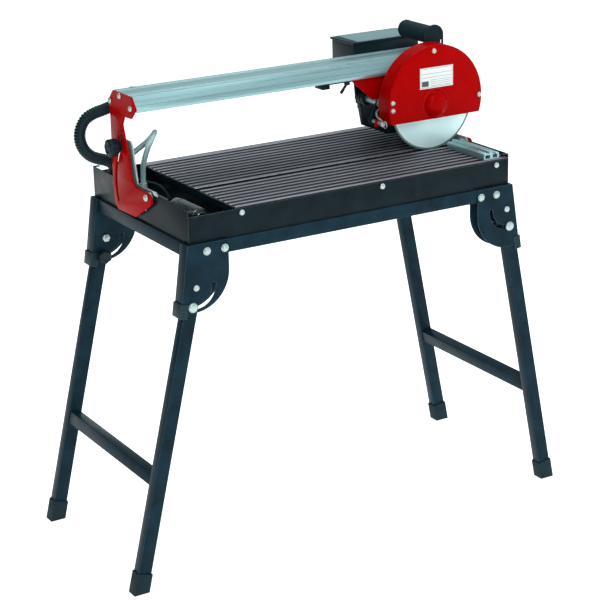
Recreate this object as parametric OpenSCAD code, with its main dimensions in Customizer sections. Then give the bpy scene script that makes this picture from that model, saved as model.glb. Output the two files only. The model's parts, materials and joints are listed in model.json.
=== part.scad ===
// Wet tile saw on a folding stand. A steel water tray on two folding leg pairs
// carries a ribbed table. Two tilting arms hold a beam over it, and a carriage
// on the beam carries the cutting head, which slides, lifts and plunges.
// Millimetres. Origin: the middle of the four feet on the floor. +X runs along
// the tray, the operator stands on the -Y side, +Z is up.

/* [Stand] */
// Half the distance between the left and the right foot centres on the floor
foot_x = 493; // [485:1:500]
// Centre plane of the legs, from the middle of the saw
leg_y = 199.5; // [199:0.1:199.7]
// Width of a leg tube, seen from the front
leg_w = 28; // [26:1:28]
// Depth of a leg tube
leg_d = 21; // [19:1:21]
// Height of the left legs' fold pivots
left_pivot_z = 598; // [594:1:598]
// Height of the right legs' fold pivots, higher so that the pairs nest
right_pivot_z = 631; // [630:1:632]
// Distance of the fold pivots from the middle of the tray
pivot_dx = 360; // [359:1:360]
// Height of the crossbars
crossbar_z = 222; // [180:1:260]
// Side of a square crossbar
crossbar_w = 25; // [20:1:26]
// Height of a rubber foot
foot_h = 42; // [30:1:50]
// Distance from a fold pivot to its lock bolt
lock_r = 38; // [37:1:39]

/* [Tray] */
// Middle of the tray, from the middle of the feet
tray_x = 13; // [10:1:15]
// Outer length of the tray
tray_l = 736; // [734:1:736]
// Outer width of the tray
tray_w = 414; // [412:1:414]
// Underside of the tray
tray_floor_z = 681.5; // [681:0.5:681.5]
// Top of the front and back walls
wall_z = 734; // [733:0.5:734]
// Top of the end walls
end_wall_z = 745.5; // [744:0.5:747]
// Thickness of the tray sheet
sheet_t = 1.5; // [1:0.5:1.5]

/* [Table] */
// Height of the table surface
table_z = 738; // [738:0.5:738.5]
// Left end of the table, from the middle of the tray
table_left = -266; // [-270:1:-262]
// Right end of the table, from the middle of the tray
table_right = 365.5; // [362:0.5:366]
// Back edge of the table
table_back = 190; // [185:1:195]
// Width of the blade slot
slot_w = 16; // [14:1:20]
// Distance from rib to rib
rib_pitch = 15.2; // [14:0.2:18]

/* [Tilting beam] */
// Plane of the cut and of the tilt axis
cut_y = -53; // [-54:0.5:-52]
// Height of the tilt axis
tilt_z = 739; // [738.5:0.5:740]
// Thickness of the tilting arms
arm_t = 4; // [3:0.5:4]
// Distance from the tilt axis to the clamp stud
stud_r = 132; // [131:1:133]
// Angle of the clamp stud above the horizontal
stud_a = 37.3; // [36:0.1:38]
// Diameter of the flexible conduit
conduit_d = 24; // [18:1:25]
// Diameter of the pump hose
hose_d = 11; // [8:1:11]

/* [Cutting head] */
// Blade diameter
blade_d = 200; // [180:5:200]
// Blade centre along the tray, from the middle of the tray
blade_x = 284; // [282:1:285]
// Height of the blade's axis
blade_z = 836; // [836:1:838]
// Outer radius of the blade guard
guard_r = 116; // [115:1:118]
// Lift pivot along the tray, from the middle of the tray
lift_x = 184; // [182:1:185]
// Height of the lift pivot
lift_z = 841; // [840:1:842]
// Height of the handle's grip
grip_z = 968; // [967:1:969]
// Diameter of the handle's grip
grip_d = 38; // [34:1:38]

/* [Hidden] */
$fn = 48;
fit = 0.05;            // radial running clearance of pins
gap = 0.3;             // clearance between parts that slide past each other
// stand
left_x = tray_x - pivot_dx;
right_x = tray_x + pivot_dx;
left_splay = atan((foot_x + left_x) / left_pivot_z);
right_splay = atan((foot_x - right_x) / right_pivot_z);
leg_top = 11;          // leg above its pivot
leg_wall = 1.5;
foot_wx = 32;
foot_wy = 27;
plate_t = 2.5;         // bracket sheet
outer_y = leg_y + leg_d / 2 + 3;      // outer face of a bracket
inner_y = outer_y - 29;               // inner face of a bracket
rail_h = 27;
rail_top = tray_floor_z;
rail_end = 372;        // rail's end, from the middle of the tray
bracket_x = 288;       // inboard edge of a bracket
bracket_low = 549;     // lower end of a bracket
bracket_r = 76;
flange_low = 394;      // outboard edge of a bracket at its lower end
frame_bolt_x = [296, 334];
frame_bolt_z = 665.5;
// tray and table
half_l = tray_l / 2;
half_w = tray_w / 2;
support_x = [-254, 61, 337];
support_z = wall_z - 8;
slot_lo = cut_y - slot_w / 2;
slot_hi = cut_y + slot_w / 2;
fence_x = 310;
plug_x = -322;
plug_y = -165;
// beam
arm_x = 372;           // inner face of an arm, from the middle of the tray
beam_lo = 898;
beam_hi = 926;
beam_front = -23;
beam_back = 96;
beam_wall = 3;
port_yz = [[-3, 903.5], [43, 920], [88, 903.5]];
stud_y = cut_y + stud_r * cos(stud_a);
stud_z = tilt_z + stud_r * sin(stud_a);
// carriage
base_lo = 892;
axle_x = [90, 337];
axle_z = beam_lo + beam_wall + 9.7;
roller_y = [8, 56];    // near face of each roller
roller_w = 6;
roller_d = 19;
hanger_y = [22, 35];
lever_x = 114;
pin_d = 16;
latch_x = 163;
latch_z = 806;
ear_y = [32, 46];      // near face of each hinge ear on the housing
grip_x = 304;
// head
guard_x = 281;
guard_z = 842;
guard_low = 806;
guard_front = -75;
guard_rear = -38;
guard_t = 1.5;
shaft_d = 17;
motor_y = [112, 158];
box_x = [193, 357];
box_y = [101, 186];
box_z = [888, 941];
switch_y = 143;
switch_z = 914;

// ---- helpers ----
module at_tray() translate([tray_x, 0, 0]) children();
module front_and_back() { children(); mirror([0, 1, 0]) children(); }
module both_ends() { children(); mirror([1, 0, 0]) children(); }
// an outline drawn in (y, z), filling x0 to x1
module slab_x(x0, x1)
    translate([x0, 0, 0]) rotate([90, 0, 90]) linear_extrude(x1 - x0) children();
// an outline drawn in (x, z), filling y0 to y1
module slab_y(y0, y1)
    translate([0, y1, 0]) rotate([90, 0, 0]) linear_extrude(y1 - y0) children();
module block(lo, hi) translate(lo) cube(hi - lo);
module rod_x(x0, x1, y, z, d)
    translate([x0, y, z]) rotate([0, 90, 0]) cylinder(h = x1 - x0, d = d);
module rod_y(y0, y1, x, z, d)
    translate([x, y1, z]) rotate([90, 0, 0]) cylinder(h = y1 - y0, d = d);
module rod_z(z0, z1, x, y, d) translate([x, y, z0]) cylinder(h = z1 - z0, d = d);
// a bolt along +Z: the head lies below z = 0, a nut follows the grip length
module bolt(d, head_d, head_h, grip, nut = true) {
    difference() {
        translate([0, 0, -head_h]) cylinder(h = head_h, d = head_d);
        translate([0, 0, -head_h - 1]) cylinder(h = 3, d = d * 0.7, $fn = 6);
    }
    cylinder(h = grip + (nut ? d : 0), d = d);
    if (nut) translate([0, 0, grip]) cylinder(h = d * 0.8, d = d * 1.9, $fn = 6);
}
module bolt_y(x, y, z, d, head_d, head_h, grip, nut = true)
    translate([x, y, z]) rotate([-90, 0, 0]) bolt(d, head_d, head_h, grip, nut);
// a curved slot of width w about the origin of the (x, z) outline plane
module arc_slot(r, w, a0, a1) {
    steps = 24;
    ring = [for (i = [0:steps]) a0 + (a1 - a0) * i / steps];
    polygon(concat([for (a = ring) (r - w / 2) * [cos(a), sin(a)]],
        [for (i = [steps:-1:0]) (r + w / 2) * [cos(ring[i]), sin(ring[i])]]));
    for (a = [a0, a1]) rotate(a) translate([r, 0]) circle(d = w + 0.04);
}
// a tube swept along points, its ring of `sides` carried from point to point
function unit(v) = v / norm(v);
function heading(p, i) =
    unit(p[min(i + 1, len(p) - 1)] - p[max(i - 1, 0)]);
function carried(p, i, side) =
    let (t = heading(p, i)) unit(side - (side * t) * t);
function sides_along(p, i, prev) =
    i >= len(p) ? [] :
    let (s = carried(p, i, prev)) concat([s], sides_along(p, i + 1, s));
module tube(p, d, sides, first_side) {
    s = sides_along(p, 0, first_side);
    rings = [for (i = [0:len(p) - 1])
        let (t = heading(p, i), u = cross(s[i], t))
        for (k = [0:sides - 1])
            let (a = 360 * k / sides) p[i] + d / 2 * (cos(a) * s[i] + sin(a) * u)];
    last = (len(p) - 1) * sides;
    walls = [for (i = [0:len(p) - 2]) for (k = [0:sides - 1])
        let (a = i * sides + k, b = i * sides + (k + 1) % sides)
        [a, b, b + sides, a + sides]];
    polyhedron(rings, concat([[for (k = [sides - 1:-1:0]) k]], walls,
        [[for (k = [0:sides - 1]) last + k]]));
}

// ---- stand ----
module stand_frame() color([0.07, 0.08, 0.09]) at_tray() {
    long_y = outer_y - plate_t;
    front_and_back() difference() {
        block([-rail_end, -long_y, rail_top - rail_h],
            [rail_end, -inner_y - plate_t, rail_top]);
        block([-rail_end - 1, -long_y + 2, rail_top - rail_h + 2],
            [rail_end + 1, -inner_y - plate_t - 2, rail_top - 2]);
        for (s = [-1, 1]) for (x = frame_bolt_x)
            rod_y(-outer_y, -inner_y, s * x, frame_bolt_z, 8.4);
    }
    both_ends() difference() {
        block([rail_end - 24, -inner_y, rail_top - rail_h], [rail_end, inner_y, rail_top]);
        block([rail_end - 22, -inner_y - 1, rail_top - rail_h + 2],
            [rail_end - 2, inner_y + 1, rail_top - 2]);
    }
}
// one front left bracket: two plates and the outboard flange that joins them
module bracket_plate(pivot_z, a0, a1) difference() {
    intersection() {
        union() {
            translate([-bracket_x - bracket_r, bracket_low + bracket_r]) circle(r = bracket_r);
            translate([-bracket_x - bracket_r, bracket_low + bracket_r])
                square([bracket_r, rail_top - bracket_low - bracket_r]);
            translate([-flange_low - 4, bracket_low])
                square([flange_low + 4 - bracket_x - bracket_r, rail_top - bracket_low]);
        }
        polygon([[-rail_end - plate_t, rail_top], [-flange_low, bracket_low],
            [-bracket_x, bracket_low], [-bracket_x, rail_top]]);
    }
    translate([-pivot_dx, pivot_z]) circle(d = 8.2);
    translate([-pivot_dx, pivot_z]) arc_slot(lock_r, 8.6, a0, a1);
    for (x = frame_bolt_x) translate([-x, frame_bolt_z]) circle(d = 8.4);
}
module bracket(pivot_z, splay) {
    a0 = -90 - splay;
    slab_y(-outer_y, -outer_y + plate_t) bracket_plate(pivot_z, a0, 1);
    slab_y(-inner_y - plate_t, -inner_y) bracket_plate(pivot_z, a0, 1);
    slab_y(-outer_y, -inner_y)
        polygon([[-rail_end - plate_t, rail_top], [-rail_end, rail_top],
            [-flange_low + plate_t, bracket_low], [-flange_low, bracket_low]]);
}
module leg_brackets() color([0.07, 0.08, 0.09]) at_tray() front_and_back() {
    bracket(left_pivot_z, left_splay);
    mirror([1, 0, 0]) bracket(right_pivot_z, right_splay);
}
module bracket_bolts() color([0.75, 0.76, 0.76]) at_tray()
    front_and_back() for (s = [-1, 1]) for (x = frame_bolt_x)
        bolt_y(s * x, -outer_y, frame_bolt_z, 8, 13, 4.5, outer_y - inner_y);
module leg_pivot_bolts() color([0.75, 0.76, 0.76]) at_tray() front_and_back() {
    bolt_y(-pivot_dx, -outer_y, left_pivot_z, 8, 13, 4.5, outer_y - inner_y);
    bolt_y(pivot_dx, -outer_y, right_pivot_z, 8, 13, 4.5, outer_y - inner_y);
}
// a U clip over the lower end of each bracket's flange
module bracket_clips() color([0.16, 0.19, 0.2]) at_tray() front_and_back() both_ends()
    translate([-391.6, 0, 556]) rotate([0, 8.4, 0]) difference() {
        block([-4, -outer_y - 2.2, -14], [11, -inner_y + 2.2, 14]);
        block([-1.8, -outer_y - 0.2, -15], [12, -inner_y + 0.2, 15]);
    }

module left_leg_frame() translate([left_x, 0, left_pivot_z])
    rotate([0, left_splay, 0]) children();
module right_leg_frame() translate([right_x, 0, right_pivot_z])
    rotate([0, -right_splay, 0]) children();
function leg_len(pivot_z, splay) = pivot_z / cos(splay);
module leg_tube(length) difference() {
    block([-leg_w / 2, -leg_y - leg_d / 2, -length + 9], [leg_w / 2, -leg_y + leg_d / 2, leg_top]);
    block([-leg_w / 2 + leg_wall, -leg_y - leg_d / 2 + leg_wall, -length],
        [leg_w / 2 - leg_wall, -leg_y + leg_d / 2 - leg_wall, leg_top + 1]);
    rod_y(-outer_y, -inner_y, 0, 0, 8 + 2 * fit);
    rod_y(-outer_y, -inner_y, 0, -lock_r, 8.2);
}
module crossbar(drop) {
    y = leg_y - leg_d / 2;
    difference() {
        block([-crossbar_w / 2, -y, -drop - crossbar_w / 2], [crossbar_w / 2, y, -drop + crossbar_w / 2]);
        block([-crossbar_w / 2 + 1.5, -y - 1, -drop - crossbar_w / 2 + 1.5],
            [crossbar_w / 2 - 1.5, y + 1, -drop + crossbar_w / 2 - 1.5]);
    }
}
module foot(length) difference() {
    block([-foot_wx / 2, -leg_y - foot_wy / 2, -length - 12],
        [foot_wx / 2, -leg_y + foot_wy / 2, -length + foot_h]);
    block([-leg_w / 2, -leg_y - leg_d / 2, -length + 9],
        [leg_w / 2, -leg_y + leg_d / 2, -length + foot_h + 1]);
}
module above_floor() intersection() {
    children();
    block([-700, -300, 0], [700, 300, 100]);
}
module lock_bolt() {
    bolt_y(0, -outer_y - gap, -lock_r, 8, 20, 6, outer_y + gap - inner_y + 12, false);
}
module left_legs() color([0.07, 0.08, 0.09])
    left_leg_frame() front_and_back() leg_tube(leg_len(left_pivot_z, left_splay));
module left_crossbar() color([0.07, 0.08, 0.09])
    left_leg_frame() crossbar((left_pivot_z - crossbar_z) / cos(left_splay));
module left_feet() color([0.05, 0.05, 0.05]) above_floor()
    left_leg_frame() front_and_back() foot(leg_len(left_pivot_z, left_splay));
module left_lock_bolts() color([0.75, 0.76, 0.76])
    left_leg_frame() front_and_back() lock_bolt();
module right_legs() color([0.07, 0.08, 0.09])
    right_leg_frame() front_and_back() leg_tube(leg_len(right_pivot_z, right_splay));
module right_crossbar() color([0.07, 0.08, 0.09])
    right_leg_frame() crossbar((right_pivot_z - crossbar_z) / cos(right_splay));
module right_feet() color([0.05, 0.05, 0.05]) above_floor()
    right_leg_frame() front_and_back() foot(leg_len(right_pivot_z, right_splay));
module right_lock_bolts() color([0.75, 0.76, 0.76])
    right_leg_frame() front_and_back() lock_bolt();
// a lobed hand knob along +Z, with a blind hole for its stud
module knob(d, h, bore, lobes) difference() {
    union() {
        cylinder(h = h * 0.3, d = d * 0.6);
        translate([0, 0, h * 0.2]) cylinder(h = h * 0.8, d = d * 0.8);
        for (i = [0:lobes - 1]) rotate(360 * i / lobes)
            translate([d * 0.39, 0, h * 0.25]) cylinder(h = h * 0.7, d = d * 0.22);
    }
    translate([0, 0, -1]) cylinder(h = h - 4, d = bore + 2 * fit);
}
module leg_knob() translate([0, -inner_y + gap, -lock_r]) rotate([-90, 0, 0])
    knob(30, 18, 8, 6);
module front_left_knob() color([0.06, 0.06, 0.06]) left_leg_frame() leg_knob();
module back_left_knob() color([0.06, 0.06, 0.06])
    left_leg_frame() mirror([0, 1, 0]) leg_knob();
module front_right_knob() color([0.06, 0.06, 0.06]) right_leg_frame() leg_knob();
module back_right_knob() color([0.06, 0.06, 0.06])
    right_leg_frame() mirror([0, 1, 0]) leg_knob();

// ---- tray and table ----
module water_tray() color([0.06, 0.07, 0.08]) at_tray() difference() {
    union() {
        difference() {
            block([-half_l, -half_w, tray_floor_z], [half_l, half_w, end_wall_z]);
            block([-half_l + sheet_t, -half_w + sheet_t, tray_floor_z + sheet_t],
                [half_l - sheet_t, half_w - sheet_t, end_wall_z + 1]);
            block([-half_l + sheet_t, -half_w - 1, wall_z],
                [half_l - sheet_t, half_w + 1, end_wall_z + 1]);
        }
        both_ends() front_and_back()
            block([half_l - 13, half_w - 9, end_wall_z - sheet_t], [half_l, half_w, end_wall_z]);
    }
    front_and_back() for (x = support_x)
        rod_y(-half_w - 1, -half_w + sheet_t + 1, x, support_z, 6.2);
    both_ends() rod_x(half_l - 3, half_l + 1, cut_y, tilt_z, 10);
    both_ends() rod_x(half_l - 3, half_l + 1, 50, 705, 6.2);
    both_ends() rod_x(half_l - 3, half_l + 1, -30, 712, 6.2);
    rod_z(tray_floor_z - 1, tray_floor_z + 3, plug_x, plug_y, 20 + 2 * fit);
    rod_y(half_w - 3, half_w + 1, -300, 712, 16);
}
// one table panel, grooved along X between its ribs
module panel(y0, y1) {
    count = floor((y1 - y0 - 8) / rib_pitch);
    margin = (y1 - y0 - count * rib_pitch) / 2;
    slab_x(table_left, table_right) difference() {
        translate([y0, wall_z]) square([y1 - y0, table_z - wall_z]);
        for (i = [0:count - 1])
            translate([y0 + margin + (i + 0.5) * rib_pitch - 3, table_z - 1.8]) square([6, 3]);
    }
}
// room in the panels' right ends for the tilt bracket and its fixings
module bracket_notch() {
    block([half_l - 6, -71.5, wall_z - 1], [half_l, 69.5, table_z + 1]);
    block([half_l - 18, cut_y - 12, wall_z - 1], [half_l, cut_y + 12, table_z + 1]);
}
module table_front() color([0.22, 0.21, 0.25]) at_tray() difference() {
    panel(-half_w, slot_lo);
    bracket_notch();
}
module table_back() color([0.22, 0.21, 0.25]) at_tray() difference() {
    panel(slot_hi, table_back);
    bracket_notch();
}
module table_supports() color([0.1, 0.1, 0.11]) at_tray() for (x = support_x) difference() {
    y = half_w - sheet_t;
    block([x - 10, -y, wall_z - 16], [x + 10, y, wall_z]);
    front_and_back() rod_y(-y - 1, -y + 20, x, support_z, 6.2);
}
module table_bolts() color([0.75, 0.76, 0.76]) at_tray() front_and_back()
    for (x = support_x) bolt_y(x, -half_w, support_z, 6, 12, 4.5, 18, false);
// the stop rail: two lengths of a two-cavity profile, parted at the blade slot
module fence_profile() translate([fence_x, table_z]) difference() {
    union() {
        square([37, 13]);
        translate([12, 13]) square([8, 4]);
    }
    translate([3, 3]) square([12, 7]);
    translate([21, 3]) square([12, 7]);
    translate([25, 9]) square([4, 5]);
}
module fence_rails() color([0.78, 0.8, 0.8]) at_tray() {
    slab_y(-half_w + 4, -73) fence_profile();
    slab_y(-32, table_back - 4) fence_profile();
}

// ---- pump and cables ----
module water_pump() color([0.05, 0.05, 0.06]) at_tray() {
    rod_y(-132, -30, -302, 704, 41);
    rod_y(-140, -132, -302, 704, 30);
    rod_y(-30, 54, -302, 704, 14);
    rod_x(-330, -302, 54, 704, 14);
    translate([-302, 54, 704]) sphere(d = 14);
    translate([-330, 54, 704]) sphere(d = 14);
    rod_z(704, 727, -330, 54, 14);
    block([-316, -120, tray_floor_z + sheet_t], [-288, -110, 690]);
    block([-316, -60, tray_floor_z + sheet_t], [-288, -50, 690]);
}
hose_route = [[-330, 54, 727], [-330, 54, 742], [-331, 51, 757], [-333, 45, 771],
    [-335, 36, 785], [-337, 25, 798], [-339, 13, 811], [-341, 1, 823],
    [-341, -9, 834], [-338, -13, 844], [-331, -8, 850], [-323, 5, 849],
    [-318, 20, 842], [-317, 36, 832], [-318, 52, 820], [-321, 68, 809],
    [-325, 84, 798], [-330, 98, 787], [-334, 108, 775], [-336, 114, 764],
    [-337, 116, 754], [-337, 116, 744]];
module pump_hose() color([0.75, 0.85, 0.85, 0.6]) at_tray()
    tube(hose_route, hose_d, 8, [1, 0, 0]);
conduit_route = [[-318, 112, 906], [-319, 119, 904], [-325, 126, 898],
    [-337, 129, 889], [-355, 130, 881], [-374, 130, 876], [-393, 130, 872],
    [-410, 130, 864], [-421, 130, 850], [-426, 130, 834], [-425, 130, 817],
    [-417, 131, 800], [-404, 132, 787], [-388, 134, 779], [-372, 137, 773],
    [-359, 139, 766], [-352, 140, 757], [-350, 140, 750], [-350, 140, 744]];
module conduit() color([0.12, 0.15, 0.16]) at_tray()
    tube(conduit_route, conduit_d, 10, [0, 0, 1]);
module cable_glands() color([0.06, 0.06, 0.07]) at_tray() {
    block([-half_l + sheet_t, 100, 732], [-326, 156, 744]);
    difference() {
        union() {
            rod_z(744, 750, -350, 140, 32);
            rod_z(744, 752, -337, 116, 16);
        }
        rod_z(743, 751, -350, 140, conduit_d + 5);
        rod_z(743, 753, -337, 116, hose_d + 1);
    }
    rod_y(half_w - sheet_t, half_w + 10, -300, 712, 15.8);
    rod_y(half_w, half_w + 6, -300, 712, 24);
}
module drain_plug() color([0.05, 0.05, 0.05]) at_tray() {
    rod_z(tray_floor_z - 9, tray_floor_z + sheet_t, plug_x, plug_y, 20);
    rod_z(tray_floor_z + sheet_t + 0.1, tray_floor_z + sheet_t + 4, plug_x, plug_y, 30);
    rod_z(tray_floor_z + sheet_t, tray_floor_z + sheet_t + 1, plug_x, plug_y, 18);
    block([plug_x - 1.5, plug_y - 7, tray_floor_z + 5], [plug_x + 1.5, plug_y + 7, tray_floor_z + 15]);
}

// ---- tilting arms and beam ----
arm_outline = [[74, 926], [-5, 926], [-23, 904], [-1, 883], [30, 882], [40, 864],
    [20, 798], [11, 758], [-7, 748], [-66, 748], [-72, 740], [-71, 729],
    [0, 688], [77, 686], [92, 696], [95, 746], [93, 787], [92, 833],
    [91, 872], [96, 904]];
module arm() slab_x(-arm_x - arm_t, -arm_x) difference() {
    polygon(arm_outline);
    translate([cut_y, tilt_z]) circle(d = 10 + 2 * fit);
    translate([cut_y, tilt_z]) arc_slot(stud_r, 8.8, -14, stud_a + 1);
    for (p = port_yz) translate(p) circle(d = 5.4);
    translate([53, 863]) circle(d = 5);
}
module left_arm() color([0.8, 0.03, 0.04]) at_tray() arm();
module right_arm() color([0.8, 0.03, 0.04]) at_tray() mirror([1, 0, 0]) arm();
// a fixed bracket inside each end wall carries the pivot bolt and the stud
module tilt_brackets() color([0.7, 0.71, 0.72]) at_tray() both_ends()
    slab_x(-half_l + sheet_t, -half_l + sheet_t + 3) difference() {
        polygon([[-70, 695], [-70, 744], [-60, 752], [4, 752], [18, 822], [26, 832],
            [60, 832], [68, 822], [68, 695]]);
        translate([cut_y, tilt_z]) circle(d = 10);
        translate([stud_y, stud_z]) circle(d = 8);
        translate([50, 705]) circle(d = 6.2);
        translate([-30, 712]) circle(d = 6.2);
    }
module tilt_bolts() color([0.75, 0.76, 0.76]) at_tray() both_ends() {
    inner = -half_l + sheet_t + 3;
    translate([-arm_x - arm_t - gap, cut_y, tilt_z]) rotate([0, 90, 0])
        bolt(10, 14, 5, inner + arm_x + arm_t + gap);
    difference() {
        rod_x(-arm_x + gap, -half_l, cut_y, tilt_z, 20);
        rod_x(-arm_x, -half_l + 1, cut_y, tilt_z, 9);
    }
    rod_x(-arm_x - arm_t - 20, inner, stud_y, stud_z, 8);
    block([inner, stud_y - 6.5, stud_z - 6.5], [inner + 5, stud_y + 6.5, stud_z + 6.5]);
    for (p = [[50, 705], [-30, 712]]) {
        rod_x(-half_l - 3, -half_l, p[0], p[1], 11);
        rod_x(-half_l, inner + 6, p[0], p[1], 6);
        translate([inner, p[0], p[1]]) rotate([0, 90, 0]) cylinder(h = 5, d = 11.4, $fn = 6);
    }
}
module tilt_knob() translate([-arm_x - arm_t - gap, stud_y, stud_z]) rotate([0, -90, 0])
    knob(37, 28, 8, 7);
module left_tilt_knob() color([0.06, 0.06, 0.06]) at_tray() tilt_knob();
module right_tilt_knob() color([0.06, 0.06, 0.06]) at_tray() mirror([1, 0, 0]) tilt_knob();
module beam() color([0.75, 0.8, 0.8]) at_tray() difference() {
    slab_x(-arm_x, arm_x) difference() {
        polygon([[beam_front, beam_lo], [beam_front, 904], [-5, beam_hi], [78, beam_hi],
            [beam_back, 904], [beam_back, beam_lo]]);
        polygon([[4, beam_lo + beam_wall], [4, 908], [-7, 908], [-14, 910.5],
            [-3.6, beam_hi - beam_wall], [38, beam_hi - beam_wall], [38, 915.5],
            [48, 915.5], [48, beam_hi - beam_wall], [76.6, beam_hi - beam_wall],
            [87, 910.5], [81, 908], [81, beam_lo + beam_wall]]);
        translate([hanger_y[0] - 6, beam_lo - 1])
            square([hanger_y[1] - hanger_y[0] + 12, beam_wall + 2]);
        for (y = [4, 12, 60, 68]) translate([y, beam_hi - 0.6]) square([1.2, 1]);
    }
    for (p = port_yz) rod_x(-arm_x - 1, arm_x + 1, p[0], p[1], 5);
}
module beam_bolts() color([0.75, 0.76, 0.76]) at_tray() both_ends() for (p = port_yz)
    translate([-arm_x - arm_t, p[0], p[1]]) rotate([0, 90, 0]) bolt(5, 12, 4, 30, false);
module beam_gland() color([0.06, 0.06, 0.07]) at_tray() difference() {
    union() {
        block([-332, beam_back, 893], [-304, beam_back + 8, 919]);
        rod_y(beam_back + 8, beam_back + 16, -318, 906, 28);
    }
    rod_y(beam_back + 8, beam_back + 20, -318, 906, conduit_d - 0.2);
}

// ---- carriage ----
module carriage_base() color([0.08, 0.08, 0.09]) at_tray() difference() {
    union() {
        block([62, -9, base_lo], [365, 70, base_lo + 3]);
        for (x = axle_x)
            block([x - 8, hanger_y[0], base_lo + 3], [x + 8, hanger_y[1], axle_z + 4]);
        slab_y(60, 64) {
            translate([lift_x, lift_z]) circle(r = 13);
            polygon([[166, base_lo], [172, lift_z - 3], [196, lift_z + 1], [187, base_lo]]);
        }
        block([57, 5, base_lo - 12], [75, 35, base_lo]);
    }
    for (x = axle_x) rod_y(hanger_y[0] - 1, hanger_y[1] + 1, x, axle_z, 6);
    rod_y(59, 65, lift_x, lift_z, pin_d);
    rod_z(base_lo - 1, base_lo + 4, lever_x, 2, 6 + 2 * fit);
}
module carriage_plate() color([0.6, 0.02, 0.03]) at_tray() slab_y(-12, -9)
    polygon([[113, 897], [166, lift_z + pin_d / 2], [200, lift_z + pin_d / 2], [246, 889],
        [365, 889], [365, 897]]);
module carriage_axles() color([0.75, 0.76, 0.76]) at_tray() for (x = axle_x) {
    rod_y(roller_y[0] - 2, roller_y[1] + roller_w + 2, x, axle_z, 6);
    difference() {
        rod_y(roller_y[0] + roller_w + gap, hanger_y[0], x, axle_z, 8);
        rod_y(roller_y[0], hanger_y[0] + 1, x, axle_z, 6);
    }
    difference() {
        rod_y(hanger_y[1], roller_y[1] - gap, x, axle_z, 8);
        rod_y(hanger_y[1] - 1, roller_y[1], x, axle_z, 6);
    }
}
module rollers(x) for (y = roller_y) difference() {
    rod_y(y, y + roller_w, x, axle_z, roller_d);
    rod_y(y - 1, y + roller_w + 1, x, axle_z, 6 + 2 * fit);
}
module left_rollers() color([0.7, 0.71, 0.72]) at_tray() rollers(axle_x[0]);
module right_rollers() color([0.7, 0.71, 0.72]) at_tray() rollers(axle_x[1]);
// the lift hinge's pin, with the strap that the lock pin enters
module plunge_pin() color([0.75, 0.76, 0.76]) at_tray() {
    rod_y(-19, 66, lift_x, lift_z, pin_d);
    rod_y(64, 68, lift_x, lift_z, 20);
    slab_y(-15, -12) difference() {
        union() {
            translate([lift_x, lift_z]) circle(d = 22);
            polygon([[lift_x - 10, lift_z + 4], [lift_x + 7, lift_z - 8],
                [latch_x + 8, latch_z], [latch_x - 8, latch_z]]);
            translate([latch_x, latch_z]) circle(d = 16);
        }
        translate([latch_x, latch_z]) circle(d = 8.8);
    }
}
module travel_lock_lever() color([0.05, 0.05, 0.06]) at_tray() {
    rod_z(base_lo - 4, beam_lo - gap, lever_x, 2, 6);
    rod_z(base_lo - 8, base_lo - gap, lever_x, 2, 12);
    translate([lever_x, 2, base_lo - 4]) rotate([0, -141, 0]) cylinder(h = 26, d = 6);
}

// ---- cutting head ----
// the spindle housing under the beam: its top falls away to leave room to lift
module housing_outline(t) polygon([[203 + t, 850], [203 + t, 884 - t], [357 - t, 842 - t],
    [352 - t, 815], [340 - t, 766 + t], [216 + t, 766 + t], [207 + t, 822]]);
module head_housing() color([0.06, 0.07, 0.08]) at_tray() difference() {
    union() {
        difference() {
            slab_y(5, 98) housing_outline(0);
            slab_y(8, 95) housing_outline(3);
        }
        slab_y(98, 112) polygon([[203, 816], [203, box_z[0]], [356, box_z[0]], [356, 800],
            [345, 766], [216, 766], [207, 812]]);
        rod_y(guard_rear + guard_t, 100, blade_x, blade_z, 44);
        for (y = ear_y) {
            rod_y(y, y + 10, lift_x, lift_z, 28);
            block([lift_x, y, lift_z - 12], [208, y + 10, lift_z + 12]);
        }
    }
    rod_y(guard_rear, 113, blade_x, blade_z, shaft_d + 2 * fit);
    rod_y(-20, 90, blade_x, blade_z, 28);
    rod_y(0, 60, lift_x, lift_z, pin_d + 2 * fit);
}
module motor_stator() color([0.07, 0.08, 0.09]) at_tray() difference() {
    rod_y(motor_y[0], motor_y[1], blade_x, blade_z, 100);
    rod_y(motor_y[0] - 1, motor_y[1] - 6, blade_x, blade_z, 60);
    rod_y(motor_y[0], motor_y[1] - 3, blade_x, blade_z, shaft_d + 2 * fit);
}
module motor_box() color([0.05, 0.06, 0.07]) at_tray() difference() {
    union() {
        block([box_x[0], box_y[0], box_z[0]], [box_x[1], box_y[1], box_z[1]]);
        block([box_x[1], switch_y - 14, switch_z - 19], [box_x[1] + 2, switch_y + 14, switch_z + 19]);
    }
    block([box_x[0] + 3, box_y[0] + 3, box_z[0] + 3], [box_x[1] - 3, box_y[1] - 3, box_z[1] + 1]);
    block([box_x[1] - 4, switch_y - 10.5, switch_z - 15], [box_x[1] + 3, switch_y + 10.5, switch_z + 15]);
}
module box_lid() color([0.62, 0.68, 0.68]) at_tray() {
    block([box_x[0] - 3, box_y[0] - 2.5, box_z[1]], [box_x[1] + 2, box_y[1] + 3, box_z[1] + 5]);
    block([box_x[0] + 3.2, box_y[0] + 3.2, box_z[1] - 4],
        [box_x[1] - 3.2, box_y[1] - 3.2, box_z[1]]);
}
module switch_rocker() color([0.1, 0.1, 0.1]) at_tray() {
    slab_y(switch_y - 10, switch_y + 10) translate([box_x[1], switch_z]) rotate(9)
        polygon([[-3, -12], [3.4, -13], [2.2, 0], [3.4, 13], [-3, 12]]);
    rod_y(switch_y - 10.4, switch_y + 10.4, box_x[1], switch_z, 4);
}
module guard_outline(r) intersection() {
    translate([guard_x, guard_z]) circle(r = r, $fn = 120);
    translate([guard_x - 200, guard_low]) square([400, 400]);
}
guard_bolt_xz = [[275, 946.5], [388.5, 842], [174, 851.5], [174, 835.5]];
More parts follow.
